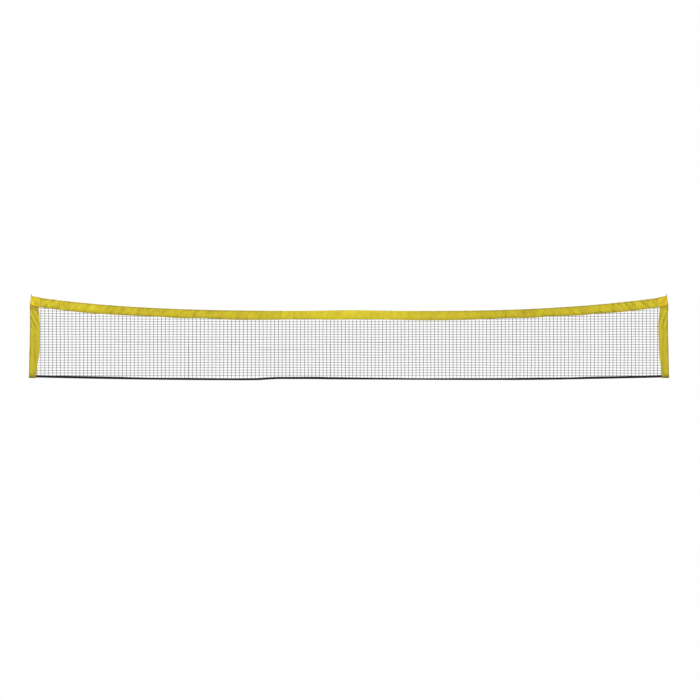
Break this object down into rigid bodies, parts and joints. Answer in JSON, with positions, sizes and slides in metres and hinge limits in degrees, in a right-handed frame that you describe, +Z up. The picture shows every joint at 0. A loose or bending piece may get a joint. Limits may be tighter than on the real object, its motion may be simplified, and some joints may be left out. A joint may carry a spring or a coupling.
{
  "type": "volleyball net on poles",
  "caption": "Volleyball net with a sagging folded top band, knotted mesh, bottom tape and side sleeves over two pole tops.",
  "frame": {"origin": "middle of the whole net with its pole tops, halfway between the pins' tops and the tape's lowest point", "axes": "+X along the net to the right as seen from the front, +Z up, -Y is the front"},
  "size_m": [6.1156, 0.0246, 0.819],
  "materials": {
    "band_cloth": "woven polyester band, yellow",
    "sleeve_cloth": "woven polyester sleeve, yellow",
    "patch_cloth": "doubled polyester corner patch, warm yellow",
    "hem_cloth": "folded hem binding, olive yellow",
    "tape_cloth": "woven webbing tape, black",
    "net_twine": "knotted twine, black",
    "cord_yarn": "braided cord, black",
    "eyelet_metal": "pressed eyelet, dull nickel",
    "ferrule_metal": "crimped, satin",
    "pole_steel": "powder coated tube, light grey",
    "plug_plastic": "moulded, black",
    "pin_steel": "weathered steel"
  },
  "bodies": {
    "left_pole": {"left_pole_tube": "pole_steel", "left_pole_plug": "plug_plastic", "left_corner_pin": "pin_steel"},
    "net": {"left_sleeve": "sleeve_cloth", "right_sleeve": "sleeve_cloth", "left_sleeve_hem": "hem_cloth", "right_sleeve_hem": "hem_cloth", "left_corner_patch": "patch_cloth", "right_corner_patch": "patch_cloth", "left_corner_eyelet": "eyelet_metal", "right_corner_eyelet": "eyelet_metal", "left_cord_ferrule": "ferrule_metal", "right_cord_ferrule": "ferrule_metal", "top_band": "band_cloth", "headline_cord": "cord_yarn", "net_mesh": "net_twine", "bottom_tape": "tape_cloth", "bottom_cord": "cord_yarn"},
    "right_pole": {"right_pole_tube": "pole_steel", "right_pole_plug": "plug_plastic", "right_corner_pin": "pin_steel"}
  },
  "joints": [
    {"name": "net_lift", "type": "slide", "parent": "left_pole", "child": "net", "axis": [0, 0, 1], "range_m": [0, 0.82]},
    {"name": "right_pole_slide", "type": "slide", "parent": "net", "child": "right_pole", "axis": [0, 0, -1], "range_m": [0, 0.82]}
  ],
  "couplings": [
    {"joint": "right_pole_slide", "follows": "net_lift", "ratio": 1}
  ]
}
